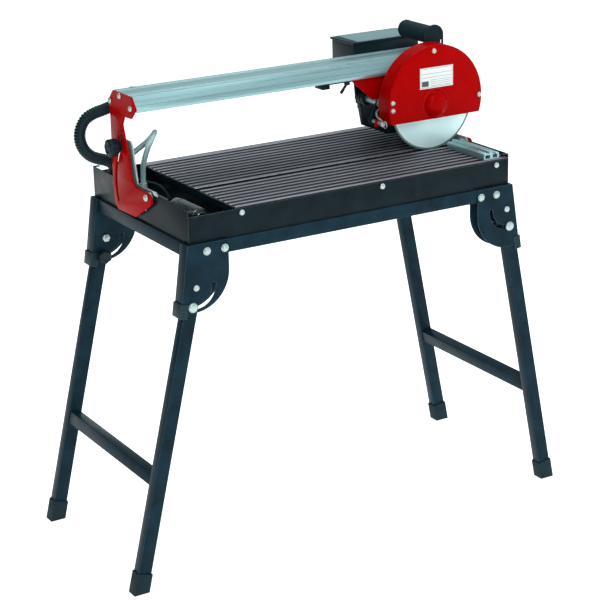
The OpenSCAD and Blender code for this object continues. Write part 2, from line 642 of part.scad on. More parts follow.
module guard_cover() color([0.75, 0.01, 0.02]) at_tray() difference() {
    dome_r = 32.5;
    dome_y = guard_front + 16.5;
    union() {
        slab_y(guard_front, guard_rear) guard_outline(guard_r);
        intersection() {
            translate([blade_x - 4, dome_y, blade_z]) sphere(r = dome_r);
            block([200, guard_front - 30, 760], [400, guard_front + 0.5, 920]);
        }
    }
    difference() {
        slab_y(guard_front + guard_t, guard_rear + 1) translate([0, -0.1]) {
            guard_outline(guard_r - guard_t);
            translate([guard_x - 109, guard_low - 1]) square([218, 2]);
        }
    }
    intersection() {
        translate([blade_x - 4, dome_y, blade_z]) sphere(r = dome_r - guard_t);
        block([200, guard_front - 30, 760], [400, guard_front + 3, 920]);
    }
    for (p = guard_bolt_xz) rod_y(guard_front - 1, guard_front + 4, p[0], p[1], 5.4);
}
module guard_back() color([0.6, 0.01, 0.02]) at_tray() slab_y(guard_rear, guard_rear + guard_t)
    difference() {
        union() {
            guard_outline(guard_r);
            translate([latch_x - 8, latch_z - 8]) square([26, 15]);
        }
        translate([blade_x, blade_z]) circle(d = 36);
        for (p = guard_bolt_xz) translate(p) circle(d = 5.4);
        translate([latch_x, latch_z]) circle(d = 8 + 2 * fit);
    }
module guard_bolts() color([0.75, 0.76, 0.76]) at_tray() for (p = guard_bolt_xz)
    bolt_y(p[0], guard_front, p[1], 5, 11, 4.5, guard_rear + guard_t - guard_front);
module label_plate() color([0.85, 0.86, 0.86]) at_tray()
    block([241, guard_front - 0.5, 870.5], [322.5, guard_front, 913.5]);
module handle_bracket() color([0.05, 0.05, 0.06]) at_tray() {
    slab_y(guard_rear + guard_t, guard_rear + guard_t + 3) difference() {
        union() {
            translate([grip_x - 1, grip_z + 1]) circle(r = 22.5);
            polygon([[281, grip_z + 6], [278, 944], [274, 905], [334, 905], [325.5, 945],
                [325.5, grip_z]]);
        }
        translate([318, 950]) square([4, 9]);
        translate(guard_bolt_xz[0]) circle(d = 10.6);
    }
    rod_y(guard_rear + guard_t + 3, 69, grip_x, grip_z, 18);
}
module handle_grip() color([0.08, 0.09, 0.1]) at_tray() difference() {
    rod_y(guard_rear + guard_t + 3.2, 75, grip_x, grip_z, grip_d);
    rod_y(guard_rear, 69.2, grip_x, grip_z, 18.2);
}
module lock_pin() color([0.75, 0.76, 0.76]) at_tray() {
    rod_y(-52, -17, latch_x, latch_z, 8);
    rod_y(-56, -52, latch_x, latch_z, 12);
    translate([latch_x, -62, latch_z]) rotate([0, 90, 0])
        rotate_extrude() translate([7, 0]) circle(d = 2, $fn = 16);
}
// links from a ring on the hinge pin's end down to the lock pin's ring
module pin_chain() color([0.75, 0.76, 0.76]) at_tray() {
    translate([lift_x, -18, lift_z]) rotate([90, 0, 0])
        rotate_extrude() translate([10.5, 0]) circle(d = 1.6, $fn = 16);
    from = [178, -22, 830];
    bend = [156, -30, 822];
    to = [155.5, -57, 817];
    count = 12;
    for (i = [0:count - 1]) {
        s = i / (count - 1);
        at = (1 - s) * (1 - s) * from + 2 * s * (1 - s) * bend + s * s * to;
        translate(at) rotate([i % 2 == 0 ? 90 : 20, 0, 40])
            rotate_extrude() translate([2.6, 0]) circle(d = 1.1, $fn = 16);
    }
}
module rotor_shaft() color([0.6, 0.61, 0.62]) at_tray() {
    rod_y(-46, motor_y[1] - 4, blade_x, blade_z, shaft_d);
    rod_y(-70, -46, blade_x, blade_z, 16);
    rod_y(motor_y[0] + 4, motor_y[1] - 10, blade_x, blade_z, 58);
}
module blade() color([0.8, 0.83, 0.83]) at_tray() difference() {
    union() {
        rod_y(cut_y - 1, cut_y + 1, blade_x, blade_z, blade_d - 10);
        difference() {
            rod_y(cut_y - 1.25, cut_y + 1.25, blade_x, blade_z, blade_d);
            rod_y(cut_y - 3, cut_y + 3, blade_x, blade_z, blade_d - 10);
        }
    }
    rod_y(cut_y - 3, cut_y + 3, blade_x, blade_z, 25.4);
}
module blade_flanges() color([0.7, 0.71, 0.72]) at_tray() {
    difference() {
        union() {
            rod_y(cut_y + 1, -46, blade_x, blade_z, 50);
            rod_y(cut_y - 0.9, cut_y + 1, blade_x, blade_z, 25.3);
        }
        rod_y(cut_y - 3, -45, blade_x, blade_z, 16);
    }
    difference() {
        rod_y(cut_y - 5.5, cut_y - 1, blade_x, blade_z, 50);
        rod_y(cut_y - 6, cut_y, blade_x, blade_z, 16);
    }
    difference() {
        translate([blade_x, cut_y - 5.5, blade_z]) rotate([90, 0, 0])
            cylinder(h = 8, d = 27, $fn = 6);
        rod_y(cut_y - 15, cut_y, blade_x, blade_z, 16);
    }
}

stand_frame();
leg_brackets();
bracket_bolts();
leg_pivot_bolts();
bracket_clips();
water_tray();
table_front();
table_back();
table_supports();
table_bolts();
fence_rails();
tilt_brackets();
tilt_bolts();
water_pump();
pump_hose();
cable_glands();
drain_plug();
left_legs();
left_crossbar();
left_feet();
left_lock_bolts();
right_legs();
right_crossbar();
right_feet();
right_lock_bolts();
front_left_knob();
back_left_knob();
front_right_knob();
back_right_knob();
left_tilt_knob();
right_tilt_knob();
left_arm();
right_arm();
beam();
beam_bolts();
beam_gland();
conduit();
carriage_base();
carriage_plate();
carriage_axles();
left_rollers();
right_rollers();
plunge_pin();
travel_lock_lever();
head_housing();
motor_stator();
motor_box();
box_lid();
switch_rocker();
guard_cover();
guard_back();
guard_bolts();
label_plate();
handle_bracket();
handle_grip();
lock_pin();
pin_chain();
rotor_shaft();
blade();
blade_flanges();
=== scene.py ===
"""Looks for the wet tile saw on its folding stand. Metres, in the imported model's frame."""
import json
import math

import bmesh
import bpy
from mathutils import Matrix, Vector


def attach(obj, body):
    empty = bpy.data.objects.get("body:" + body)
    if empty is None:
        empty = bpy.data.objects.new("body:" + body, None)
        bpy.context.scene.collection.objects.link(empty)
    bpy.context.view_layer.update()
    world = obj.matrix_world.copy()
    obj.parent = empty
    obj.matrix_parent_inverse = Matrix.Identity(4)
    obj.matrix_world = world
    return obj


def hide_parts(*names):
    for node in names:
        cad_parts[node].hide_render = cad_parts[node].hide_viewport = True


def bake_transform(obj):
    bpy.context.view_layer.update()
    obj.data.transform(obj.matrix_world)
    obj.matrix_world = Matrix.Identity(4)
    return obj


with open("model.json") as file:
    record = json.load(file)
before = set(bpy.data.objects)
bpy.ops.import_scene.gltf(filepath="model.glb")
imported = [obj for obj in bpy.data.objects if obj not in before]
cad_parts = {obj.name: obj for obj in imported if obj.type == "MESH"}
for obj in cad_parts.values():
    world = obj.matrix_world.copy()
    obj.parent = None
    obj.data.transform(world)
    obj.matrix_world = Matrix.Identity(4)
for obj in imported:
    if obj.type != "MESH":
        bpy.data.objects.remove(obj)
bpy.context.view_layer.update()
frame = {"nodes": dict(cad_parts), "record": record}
nodes = frame["nodes"]
MM = 0.001
# Places in tray millimetres, as in the part
TX = 13.0                                     # the tray's middle, along X from the feet's middle
LEG_PIVOT = {-1: (-360, 598), 1: (360, 631)}  # fold pivot (x, z) of each leg pair
FOOT_SPAN = 493                               # feet's distance from the middle along X
FRAME_Y, TRAY_Y = 213, 207                    # outer faces of the brackets and of the tray
LOCK_DROP = 38                                # lock bolt's distance below the pivot
TILT_Y, TILT_Z = -53, 739                     # the beam's tilt axis
CLAMP_R, CLAMP_ANGLE = 132, math.radians(37.3)
ARM_X, BRACKET_X = 376.3, 363.5               # arm's outer face, tilt bracket's inner face
GX, GZ, GR, GLOW = 281.0, 842.0, 116.0, 806.0  # guard's centre, radius and lower edge
GUARD_FRONT, GUARD_REAR = -75.0, -38.0
BLADE_X, BLADE_Y, BLADE_Z = 284, -53, 836     # the blade stands on the tilt axis
LIFT_X, LIFT_Z = 184, 841                     # the head's hinge pin
LATCH_X, LATCH_Z = 163, 806                   # the head's lock pin
GRIP_X, GRIP_Z = 304, 968
LEVER_X = 114


def P(x, y, z):
    """A point in tray millimetres, in the model's metres."""
    return Vector(((x + TX) * MM, y * MM, z * MM))


# ---------------------------------------------------------------- camera
def set_camera():
    az, el, roll = math.radians(-30.37), math.radians(18.83), math.radians(-1.45)
    back = Vector((math.sin(az) * math.cos(el), -math.cos(az) * math.cos(el), math.sin(el)))
    right = Vector((math.cos(az), math.sin(az), 0))
    up = back.cross(right)
    r = right * math.cos(roll) + up * math.sin(roll)
    u = up * math.cos(roll) - right * math.sin(roll)
    cam = bpy.data.cameras.new("camera")
    cam.sensor_width = 36
    cam.lens = 1862 / 600 * 36
    cam.clip_end = 50
    obj = bpy.data.objects.new("camera", cam)
    at = Vector((0.0021, 0, 0.4465)) + back * 3.870
    obj.matrix_world = Matrix((r, u, back)).transposed().to_4x4()
    obj.matrix_world.translation = at
    bpy.context.scene.collection.objects.link(obj)
    bpy.context.scene.camera = obj


set_camera()


# ------------------------------------------------------------- materials
def shade(name, color, rough=0.4, metal=0.0, mottle=0.12, mottle_scale=30.0, grain=900.0,
          bump=0.15, depth=0.00008, stretch=(1, 1, 1), rough_var=0.08, coat=0.0,
          coat_rough=0.1, edge=None, edge_size=0.0012, transmission=0.0,
          aniso=0.0, radial=None, specular=0.5, dust=None, dust_amount=0.0):
    """A procedural finish: mottled colour, uneven gloss, fine grain, and lighter edges, partly wear and
    partly painted highlight.
    """
    m = bpy.data.materials.new(name)
    m.use_nodes = True
    nt = m.node_tree
    nt.nodes.clear()
    new, link = nt.nodes.new, nt.links.new
    out = new("ShaderNodeOutputMaterial")
    bsdf = new("ShaderNodeBsdfPrincipled")
    link(bsdf.outputs[0], out.inputs[0])
    bsdf.inputs["Metallic"].default_value = metal
    bsdf.inputs["Coat Weight"].default_value = coat
    bsdf.inputs["Coat Roughness"].default_value = coat_rough
    bsdf.inputs["Specular IOR Level"].default_value = specular
    bsdf.inputs["Transmission Weight"].default_value = transmission
    bsdf.inputs["Anisotropic"].default_value = aniso
    if radial:
        tangent = new("ShaderNodeTangent")
        tangent.direction_type = "RADIAL"
        tangent.axis = radial
        link(tangent.outputs[0], bsdf.inputs["Tangent"])
    coord = new("ShaderNodeTexCoord")
    mapping = new("ShaderNodeMapping")
    mapping.inputs["Scale"].default_value = stretch
    link(coord.outputs["Object"], mapping.inputs[0])
    big = new("ShaderNodeTexNoise")
    big.inputs["Scale"].default_value = mottle_scale
    big.inputs["Detail"].default_value = 4
    link(mapping.outputs[0], big.inputs["Vector"])
    ramp = new("ShaderNodeValToRGB")
    c = Vector(color)
    lo, hi = c * (1 - mottle), c * (1 + mottle)
    ramp.color_ramp.elements[0].position = 0.3
    ramp.color_ramp.elements[1].position = 0.7
    ramp.color_ramp.elements[0].color = (*lo, 1)
    ramp.color_ramp.elements[1].color = (*[min(v, 1) for v in hi], 1)
    link(big.outputs["Fac"], ramp.inputs[0])
    colour = ramp.outputs[0]
    if dust is not None:
        spots = new("ShaderNodeTexNoise")
        spots.inputs["Scale"].default_value = 11
        spots.inputs["Detail"].default_value = 8
        spots.inputs["Roughness"].default_value = 0.75
        link(mapping.outputs[0], spots.inputs["Vector"])
        cover = new("ShaderNodeMapRange")
        cover.inputs["From Min"].default_value = 0.45
        cover.inputs["From Max"].default_value = 0.75
        cover.inputs["To Max"].default_value = dust_amount
        link(spots.outputs["Fac"], cover.inputs[0])
        mix = new("ShaderNodeMix")
        mix.data_type = "RGBA"
        link(cover.outputs[0], mix.inputs[0])
        link(colour, mix.inputs[6])
        mix.inputs[7].default_value = (*dust, 1)
        colour = mix.outputs[2]
    normal = None
    # edge mixes a lighter colour in along edges found by the bevel normal: partly wear, partly a
    # painted highlight on the edges
    if edge is not None:
        bevel = new("ShaderNodeBevel")
        bevel.samples = 4
        bevel.inputs["Radius"].default_value = edge_size
        geo = new("ShaderNodeNewGeometry")
        dot = new("ShaderNodeVectorMath")
        dot.operation = "DOT_PRODUCT"
        link(bevel.outputs[0], dot.inputs[0])
        link(geo.outputs["Normal"], dot.inputs[1])
        edge_wear_and_highlight = new("ShaderNodeMapRange")
        edge_wear_and_highlight.inputs["From Min"].default_value = 0.985
        edge_wear_and_highlight.inputs["From Max"].default_value = 0.86
        edge_wear_and_highlight.inputs["To Max"].default_value = 0.95
        link(dot.outputs["Value"], edge_wear_and_highlight.inputs[0])
        mix = new("ShaderNodeMix")
        mix.data_type = "RGBA"
        link(edge_wear_and_highlight.outputs[0], mix.inputs[0])
        link(colour, mix.inputs[6])
        mix.inputs[7].default_value = (*edge, 1)
        colour = mix.outputs[2]
        normal = bevel.outputs[0]
    link(colour, bsdf.inputs["Base Color"])
    gloss = new("ShaderNodeMapRange")
    gloss.inputs["From Min"].default_value = 0.3
    gloss.inputs["From Max"].default_value = 0.7
    gloss.inputs["To Min"].default_value = max(rough - rough_var, 0.03)
    gloss.inputs["To Max"].default_value = min(rough + rough_var, 1)
    link(big.outputs["Fac"], gloss.inputs[0])
    link(gloss.outputs[0], bsdf.inputs["Roughness"])
    fine = new("ShaderNodeTexNoise")
    fine.inputs["Scale"].default_value = grain
    fine.inputs["Detail"].default_value = 2
    link(mapping.outputs[0], fine.inputs["Vector"])
    relief = new("ShaderNodeBump")
    relief.inputs["Strength"].default_value = bump
    relief.inputs["Distance"].default_value = depth
    link(fine.outputs["Fac"], relief.inputs["Height"])
    if normal is not None:
        link(normal, relief.inputs["Normal"])
    link(relief.outputs[0], bsdf.inputs["Normal"])
    return m


# The edge colours below are lighter lines along edges: partly wear, partly painted highlight.
M = {
    "frame_black": shade("frame_black", (0.0050, 0.0190, 0.0300), 0.34, mottle=0.3, grain=1500,
                         bump=0.3, depth=0.0001, edge=(0.10, 0.16, 0.18), edge_size=0.0013,
                         specular=0.06),
    "table_grey": shade("table_grey", (0.012, 0.012, 0.020), 0.36, metal=0.1, mottle=0.45,
                        mottle_scale=14, stretch=(0.25, 6, 1), grain=700, bump=0.3,
                        dust=(0.060, 0.045, 0.050), dust_amount=0.45, specular=0.12),
    "saw_red": shade("saw_red", (0.36, 0.0002, 0.0006), 0.24, mottle=0.05, grain=1300, bump=0.14,
                     edge=(0.72, 0.02, 0.02), edge_size=0.0008, specular=0.025),
    "bare_aluminium": shade("bare_aluminium", (0.31, 0.47, 0.49), 0.33, metal=0.75, mottle=0.06,
                            mottle_scale=22, stretch=(0.12, 14, 14), grain=500, bump=0.22,
                            edge=(0.85, 0.9, 0.9), edge_size=0.0008),
    "zinc_steel": shade("zinc_steel", (0.43, 0.50, 0.49), 0.42, metal=0.6, mottle=0.10,
                        mottle_scale=160, grain=1600, bump=0.15, edge=(0.8, 0.82, 0.8),
                        edge_size=0.0005),
    "blade_steel": shade("blade_steel", (0.74, 0.93, 0.93), 0.36, metal=0.3, mottle=0.05,
                         mottle_scale=9, grain=1400, bump=0.1, aniso=0.8, radial="Y"),
    "head_black": shade("head_black", (0.0045, 0.0130, 0.0175), 0.40, mottle=0.35, grain=700,
                        bump=0.6, depth=0.0002, edge=(0.06, 0.08, 0.09), edge_size=0.0014,
                        specular=0.08),
    "black_plastic": shade("black_plastic", (0.0050, 0.0150, 0.0200), 0.34, mottle=0.2, grain=1800,
                           bump=0.4, edge=(0.09, 0.12, 0.13), edge_size=0.0011, specular=0.14),
    "black_rubber": shade("black_rubber", (0.0070, 0.0210, 0.0280), 0.60, mottle=0.3, grain=1200,
                          bump=0.6, depth=0.00015, edge=(0.05, 0.065, 0.07), edge_size=0.0018,
                          specular=0.12),
    "pump_black": shade("pump_black", (0.010, 0.010, 0.012), 0.16, mottle=0.2, coat=0.6,
                        coat_rough=0.08, edge=(0.05, 0.05, 0.06)),
    "pale_lid": shade("pale_lid", (0.155, 0.245, 0.265), 0.35, mottle=0.08, grain=1200, bump=0.25,
                      edge=(0.32, 0.40, 0.40), edge_size=0.0012, specular=0.3),
    "clear_hose": shade("clear_hose", (0.42, 0.58, 0.60), 0.16, mottle=0.06, grain=300, bump=0.05,
                        coat=0.6, coat_rough=0.06, transmission=0.35),
    "label_silver": shade("label_silver", (0.72, 0.74, 0.72), 0.42, metal=0.1, mottle=0.03,
                          grain=900, bump=0.05, edge=(0.85, 0.86, 0.85), edge_size=0.0006),
}
M["rim_grit"] = shade("rim_grit", (0.17, 0.21, 0.22), 0.6, metal=0.4, mottle=0.3, mottle_scale=900,
                      grain=2600, bump=0.9, depth=0.0003)
M["rib_top"] = shade("rib_top", (0.25, 0.23, 0.26), 0.38, metal=0.2, mottle=0.3, mottle_scale=9,
                     stretch=(0.3, 8, 1), grain=700, bump=0.3, dust=(0.05, 0.04, 0.05), dust_amount=0.5)
# The water tray's black is a darker copy of the frame's black paint: painted shade on the tray walls;
# its lighter edge colour is a painted highlight along the wall tops.
M["tray_black_painted_shade"] = shade("tray_black_painted_shade", (0.0045, 0.0105, 0.0140), 0.34, mottle=0.3, grain=1500,
                        bump=0.3, depth=0.0001, edge=(0.20, 0.26, 0.26), edge_size=0.0013,
                        specular=0.07)
M["clip_steel"] = shade("clip_steel", (0.010, 0.026, 0.032), 0.42, mottle=0.3, grain=900, bump=0.4,
                        edge=(0.16, 0.20, 0.20), edge_size=0.0014, specular=0.12)
M["dark_ink"] = shade("dark_ink", (0.05, 0.055, 0.06), 0.5, mottle=0.1)
M["cut_steel"] = shade("cut_steel", (0.52, 0.53, 0.53), 0.3, metal=0.95, mottle=0.1,
                       mottle_scale=60, grain=900, bump=0.2, edge=(0.75, 0.75, 0.74),
                       edge_size=0.0006)
slot_of = {s["node"]: s["material_slot"] for s in frame["record"]["subparts"]}


def paint(obj, mat):
    obj.data.materials.clear()
    obj.data.materials.append(M[mat])


for name, obj in nodes.items():
    base = name if name in slot_of else name.split(".")[0]
    for i in range(max(1, len(obj.material_slots))):
        if obj.material_slots:
            obj.material_slots[i].link = "OBJECT"
            obj.material_slots[i].material = M[slot_of[base]]


# ------------------------------------------------------------ mesh tools
def piece(name, bm, mat, body, node=None, smooth=True, angle=35):
    """Makes a piece from a bmesh, with sharp edges where its faces meet at a steep angle."""
    bmesh.ops.recalc_face_normals(bm, faces=bm.faces)
    mesh = bpy.data.meshes.new(name)
    bm.to_mesh(mesh)
    bm.free()
    obj = bpy.data.objects.new(name, mesh)
    bpy.context.scene.collection.objects.link(obj)
    if smooth:
        mesh.shade_smooth()
        mesh.set_sharp_from_angle(angle=math.radians(angle))
    paint(obj, mat)
    if body:
        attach(obj, body)
    if node:
        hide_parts(*([node] if isinstance(node, str) else node))
    return obj


def frame_of(axis):
    """Two directions square to an axis."""
    axis = Vector(axis).normalized()
    ref = Vector((0, 0, 1)) if abs(axis.z) < 0.9 else Vector((1, 0, 0))
    u = ref.cross(axis).normalized()
    return axis, u, axis.cross(u)


def lathe(bm, at, axis, rings, seg=32, radius=None, turn=0.0, ring=False):
    """Revolves (r, h) rings in mm about an axis; radius(i, a, r) may reshape a ring.
    ring joins the last ring to the first, for a body with a hole through it."""
    axis, u, v = frame_of(axis)
    rows = []
    for i, (r, h) in enumerate(rings):
        base = at + axis * (h * MM)
        if r < 1e-6:
            rows.append([bm.verts.new(base)])
            continue
        row = []
        for k in range(seg):
            a = 2 * math.pi * k / seg + turn
            rr = radius(i, a, r) if radius else r
            row.append(bm.verts.new(base + (u * math.cos(a) + v * math.sin(a)) * (rr * MM)))
        rows.append(row)
    for a, b in zip(rows, rows[1:] + (rows[:1] if ring else [])):
        for k in range(seg):
            quad = [a[k % len(a)], a[(k + 1) % len(a)], b[(k + 1) % len(b)], b[k % len(b)]]
            face = []
            for vert in quad:
                if vert not in face:
                    face.append(vert)
            if len(face) > 2:
                bm.faces.new(face)
    for row in () if ring else (rows[0], rows[-1]):
        if len(row) > 2:
            bm.faces.new(row)


def hexed(which, flat):
    """A ring shaper: the listed rings become hexagons of this width across flats."""
    def shape(i, a, r):
        if i not in which:
            return r
        s = math.radians(60)
        t = (a % s) - s / 2
        return min(flat / 2 / math.cos(t), flat / 2 / math.cos(s / 2))
    return shape


def smooth_path(points, step):
    """A smooth line through the points, at an even step, in the points' own unit."""
    pts = [Vector(p) for p in points]
    pts = [pts[0] * 2 - pts[1]] + pts + [pts[-1] * 2 - pts[-2]]
    line = []
    for a, b, c, d in zip(pts, pts[1:], pts[2:], pts[3:]):
        for k in range(12):
            t = k / 12
            line.append(0.5 * ((2 * b) + (c - a) * t + (2 * a - 5 * b + 4 * c - d) * t * t
                               + (3 * b - a - 3 * c + d) * t * t * t))
    line.append(pts[-2])
    total = sum((q - p).length for p, q in zip(line, line[1:]))
    count = max(2, round(total / step))
    out, left, i, here = [line[0].copy()], total / count, 0, line[0].copy()
    need = left
    while i < len(line) - 1 and len(out) < count:
        d = (line[i + 1] - here).length
        if d < need:
            need -= d
            i += 1
            here = line[i].copy()
        else:
            here = here + (line[i + 1] - here).normalized() * need
            out.append(here.copy())
            need = left
    out.append(line[-1].copy())
    return out, total


def sweep(bm, path, radius, sides=12, up=(0, 1, 0)):
    """A closed tube along a path in metres; radius is in mm, or a function of the index."""
    tang = [(path[min(i + 1, len(path) - 1)] - path[max(i - 1, 0)]).normalized()
            for i in range(len(path))]
    side = (Vector(up) - tang[0] * Vector(up).dot(tang[0])).normalized()
    rows = []
    for i, (p, t) in enumerate(zip(path, tang)):
        side = (side - t * side.dot(t)).normalized()
        other = t.cross(side)
        r = (radius(i) if callable(radius) else radius) * MM
        rows.append([bm.verts.new(p + (side * math.cos(2 * math.pi * k / sides)
                                       + other * math.sin(2 * math.pi * k / sides)) * r)
                     for k in range(sides)])
    for a, b in zip(rows, rows[1:]):
        for k in range(sides):
            bm.faces.new((a[k], a[(k + 1) % sides], b[(k + 1) % sides], b[k]))
    bm.faces.new(rows[0][::-1])
    bm.faces.new(rows[-1])


def loop_tube(bm, points, r, sides=8):
    """A closed ring of wire through points in metres, radius in mm."""
    n = len(points)
    mid = sum(points, Vector()) / n
    normal = (points[0] - mid).cross(points[n // 4] - mid).normalized()
    rows = []
    for i, p in enumerate(points):
        t = (points[(i + 1) % n] - points[i - 1]).normalized()
        other = t.cross(normal)
        rows.append([bm.verts.new(p + (normal * math.cos(2 * math.pi * k / sides)
                                       + other * math.sin(2 * math.pi * k / sides)) * r * MM)
                     for k in range(sides)])
    for i in range(n):
        a, b = rows[i], rows[(i + 1) % n]
        for k in range(sides):
            bm.faces.new((a[k], a[(k + 1) % sides], b[(k + 1) % sides], b[k]))


def box(bm, lo, hi, bevel=0.0, seg=2):
    """A block between two points in metres, its edges rounded by bevel in mm."""
    made = bmesh.ops.create_cube(bm, size=1)["verts"]
    lo, hi = Vector(lo), Vector(hi)
    for v in made:
        v.co = Vector([(lo[i] + hi[i]) / 2 + v.co[i] * (hi[i] - lo[i]) for i in range(3)])
    if bevel:
        edges = list({e for v in made for e in v.link_edges})
        bmesh.ops.bevel(bm, geom=edges, offset=bevel * MM, segments=seg, profile=0.5,
                        affect="EDGES", clamp_overlap=True)


def soften(node, width=0.6, segments=2, min_len=3.0, angle=30, mat=None, name=None):
    """A copy of a CAD solid with its straight edges rounded, to stand for it."""
    src = nodes[node]
    bm = bmesh.new()
    bm.from_mesh(src.data)
    bmesh.ops.transform(bm, matrix=src.matrix_world, verts=bm.verts)
    bmesh.ops.remove_doubles(bm, verts=bm.verts, dist=2e-6)
    bmesh.ops.dissolve_limit(bm, angle_limit=math.radians(0.4), verts=bm.verts, edges=bm.edges)
    bmesh.ops.recalc_face_normals(bm, faces=bm.faces)
    edges = [e for e in bm.edges if len(e.link_faces) == 2 and e.calc_length() > min_len * MM
             and e.calc_face_angle(0) > math.radians(angle)]
    bmesh.ops.bevel(bm, geom=edges, offset=width * MM, segments=segments, profile=0.5,
                    affect="EDGES", clamp_overlap=True)
    body = next(b for b, n in frame["record"]["behaviour"]["bodies"].items() if node in n)
    return piece(name or node + "_skin", bm, mat or slot_of[node], body, node)


# ------------------------------------------------- sheet, tube and profile
for n, w in (("stand_frame", 1.2), ("left_legs", 2.0), ("right_legs", 2.0),
             ("left_crossbar", 1.5), ("right_crossbar", 1.5), ("leg_brackets", 0.7),
             ("left_arm", 0.8), ("right_arm", 0.8),
             ("carriage_plate", 0.6), ("beam", 0.9), ("fence_rails", 0.5),
             ("table_supports", 0.8), ("tilt_brackets", 0.5), ("handle_bracket", 0.6),
             ("guard_back", 0.3), ("carriage_base", 0.6)):
    soften(n, w)
soften("bracket_clips", 0.6, mat="clip_steel")
# the tray gets the darker copy of the frame black, as painted shade
soften("water_tray", 0.7, mat="tray_black_painted_shade")
for n in ("left_feet", "right_feet"):
    soften(n, 3.5, 3, 8)


def bolt(bm, at, out, head, head_h, washer=None, nut_at=None, shank=6.0):
    """A round-head bolt: smooth dome, washer, and a nut where the sheet ends (mm)."""
    r = head / 2
    rings = [(r * 0.9, 0.0), (r, head_h * 0.22), (r * 0.96, head_h * 0.45), (r * 0.84, head_h * 0.72),
             (r * 0.62, head_h * 0.90), (r * 0.34, head_h * 0.98), (0, head_h)]
    lathe(bm, at, out, rings, 28)
    if washer:
        lathe(bm, at, out, [(washer / 2, -0.0), (washer / 2, 0.9), (r * 0.8, 1.0)], 28)
    if nut_at is not None:
        n = shank * 1.8
        lathe(bm, at, -Vector(out), [(n * 0.42, nut_at), (n / 2, nut_at + 0.5),
              (n / 2, nut_at + shank * 0.7), (n * 0.42, nut_at + shank * 0.78),
              (shank * 0.5, nut_at + shank * 0.8), (shank * 0.5, nut_at + shank * 1.2),
              (shank * 0.4, nut_at + shank * 1.3)], 24, hexed((1, 2), n))
        lathe(bm, at, -Vector(out), [(shank / 2, -1), (shank / 2, nut_at + 1)], 20)


# ----------------------------------------------------------- table panels
def panel(name, y0, y1, node, slot_side):
    """A ribbed panel along X, stepping back at its right end; slot_side is its edge at the slot."""
    left, right, top, low = -266.0, 365.5, 738.0, 734.0
    pitch, w = 19.2, 6.2  # rib spacing, and half of a trough
    count = int((y1 - y0 - 8) // pitch)
    margin = min((y1 - y0 - count * pitch) / 2, 8.5)
    line = [(y0, low + 0.4), (y0, top - 0.5), (y0 + 0.5, top)]
    for i in range(count):
        c = y0 + margin + (i + 0.5) * pitch
        half = [(w + 0.5, top), (w, top - 0.35), (w - 0.6, top - 1.5), (w - 1.6, top - 1.75)]
        line += [(c - y, z) for y, z in half] + [(c + y, z) for y, z in half[::-1]]
    line += [(y1 - 0.5, top), (y1, top - 0.5), (y1, low + 0.4), (y1 - 0.4, low), (y0 + 0.4, low)]
    # extra points where the right end steps back around the tilt bracket
    steps = [-71.6, -71.5, -65.1, -65.0, -41.0, -40.9, 69.4, 69.5]
    full = []
    for a, b in zip(line, line[1:] + line[:1]):
        full.append(a)
        for s in (steps if a[0] < b[0] else steps[::-1]):
            if min(a[0], b[0]) + 0.01 < s < max(a[0], b[0]) - 0.01:
                t = (s - a[0]) / (b[0] - a[0])
                full.append((s, a[1] + (b[1] - a[1]) * t))
    def end(y):
        if -65.05 < y < -40.95:
            return 350.0
        return 362.0 if -71.55 < y < 69.45 else right
    bm = bmesh.new()
    cut = 1.6  # bare strip along the left end
    a, b, c = ([bm.verts.new(P(x if x is not None else end(y), y, z)) for y, z in full]
               for x in (left, left + cut, None))
    n = len(full)
    for i in range(n):
        j = (i + 1) % n
        strip = bm.faces.new((a[i], a[j], b[j], b[i]))
        f = bm.faces.new((b[i], b[j], c[j], c[i]))
        side = (full[i][0] + full[j][0]) / 2
        high = min(full[i][1], full[j][1]) > top - 0.6
        strip.material_index = 1 if high else 0
        f.material_index = 1 if abs(side - slot_side) < 1.2 and high else 2 if high else 0
    f = bm.faces.new(a[::-1])
    f.material_index = 1
    bm.faces.new(c)
    finish = [f.material_index for f in bm.faces]
    obj = piece(name, bm, "table_grey", "base", node, angle=40)
    obj.data.materials.append(M["cut_steel"])
    obj.data.materials.append(M["rib_top"])
    for f, k in zip(obj.data.polygons, finish):
        f.material_index = k


panel("front_panel", -207, -61, "table_front", -61)
panel("back_panel", -45, 190, "table_back", -45)

# ---------------------------------------------------------------- fixings
bm = bmesh.new()
for s in (-1, 1):
    for x in (-334, -296, 296, 334):
        bolt(bm, P(x, s * FRAME_Y, 665.5), (0, s, 0), 13, 4.4, washer=15.5, nut_at=29, shank=8)
piece("bracket_bolt_set", bm, "zinc_steel", "base", "bracket_bolts")
bm = bmesh.new()
for s in (-1, 1):
    for x, z in LEG_PIVOT.values():
        bolt(bm, P(x, s * FRAME_Y, z), (0, s, 0), 13, 4.4, nut_at=29, shank=8)
piece("leg_pivot_set", bm, "zinc_steel", "base", "leg_pivot_bolts")
bm = bmesh.new()
for s in (-1, 1):
    for x in (-254, 61, 337):
        bolt(bm, P(x, s * TRAY_Y, 726), (0, s, 0), 12, 4.4)
        lathe(bm, P(x, s * TRAY_Y, 726), (0, -s, 0), [(3, -0.5), (3, 17)], 16)
piece("table_bolt_set", bm, "zinc_steel", "base", "table_bolts")

# each leg's lean: from its pivot line at the floor out to its foot
splay = {-1: math.atan((FOOT_SPAN - 347) / 598), 1: math.atan((FOOT_SPAN - 373) / 631)}


def leg_point(side, y, drop):
    """A point in the leg pair's plane, this far below its pivot along the legs."""
    (x, z), a = LEG_PIVOT[side], splay[side]
    return P(x + side * drop * math.sin(a), y, z - drop * math.cos(a))


for side, word in ((-1, "left"), (1, "right")):
    bm = bmesh.new()
    for s in (-1, 1):
        at = leg_point(side, s * 213.3, LOCK_DROP)
        bolt(bm, at, (0, s, 0), 20, 5.8)
        lathe(bm, at, (0, -s, 0), [(4, -0.5), (4, 40), (3.4, 41)], 20)
    piece(word + "_lock_set", bm, "zinc_steel", word + "_leg_pair", word + "_lock_bolts")


